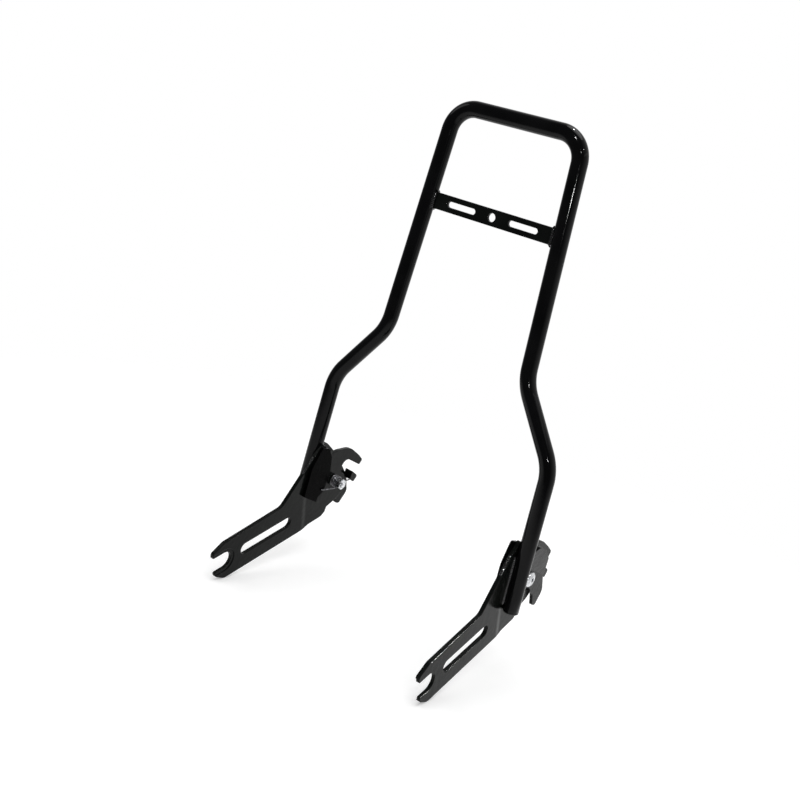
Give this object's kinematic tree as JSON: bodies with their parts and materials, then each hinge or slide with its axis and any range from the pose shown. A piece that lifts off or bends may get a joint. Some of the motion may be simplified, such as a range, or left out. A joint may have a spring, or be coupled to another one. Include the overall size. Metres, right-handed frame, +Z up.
{
  "type": "detachable motorcycle sissy bar",
  "caption": "Tall bent-tube passenger backrest frame with a slotted cross strap and two hooked side plates, each with a front fork notch, a long slot and a sprung latch lever.",
  "frame": {"origin": "middle of the common axis of the two front notches", "axes": "X across the bike to its right side as seen from the front, +Y towards the rear hooks, +Z up along the hoop"},
  "size_m": [0.3432, 0.2559, 0.6143],
  "materials": {
    "tube_paint": "gloss black powder coat",
    "black_paint": "gloss black powder coat on flat steel",
    "doubler_paint": "deep gloss black",
    "weld_paint": "gloss black over rippled weld bead",
    "plug_plastic": "moulded, satin",
    "latch_paint": "satin black",
    "zinc_steel": "bright zinc plate",
    "spring_steel": "bright drawn wire"
  },
  "bodies": {
    "frame": {"hoop": "tube_paint", "cross_strap": "black_paint", "left_side_plate": "black_paint", "left_doubler": "doubler_paint", "left_plate_weld": "weld_paint", "left_strap_weld": "weld_paint", "left_tube_plug": "plug_plastic", "left_pivot_bolt": "zinc_steel", "left_pivot_washer": "zinc_steel", "left_spring_bush": "zinc_steel", "left_pivot_nut": "zinc_steel", "right_side_plate": "black_paint", "right_doubler": "doubler_paint", "right_plate_weld": "weld_paint", "right_strap_weld": "weld_paint", "right_tube_plug": "plug_plastic", "right_pivot_bolt": "zinc_steel", "right_pivot_washer": "zinc_steel", "right_spring_bush": "zinc_steel", "right_pivot_nut": "zinc_steel"},
    "left_lever": {"left_latch": "latch_paint", "left_latch_spring": "spring_steel"},
    "right_lever": {"right_latch": "latch_paint", "right_latch_spring": "spring_steel"}
  },
  "joints": [
    {"name": "left_latch_pivot", "type": "hinge", "parent": "frame", "child": "left_lever", "pos_m": [-0.14913, 0.1783, 0.08155], "axis": [-0.9994, 0, 0.0346], "range_deg": [0, 18], "stiffness_Nm_per_rad": 0.4, "springref_deg": -34.38},
    {"name": "right_latch_pivot", "type": "hinge", "parent": "frame", "child": "right_lever", "pos_m": [0.14913, 0.1783, 0.08155], "axis": [-0.9994, 0, -0.0346], "range_deg": [0, 18], "stiffness_Nm_per_rad": 0.4, "springref_deg": -34.38}
  ]
}
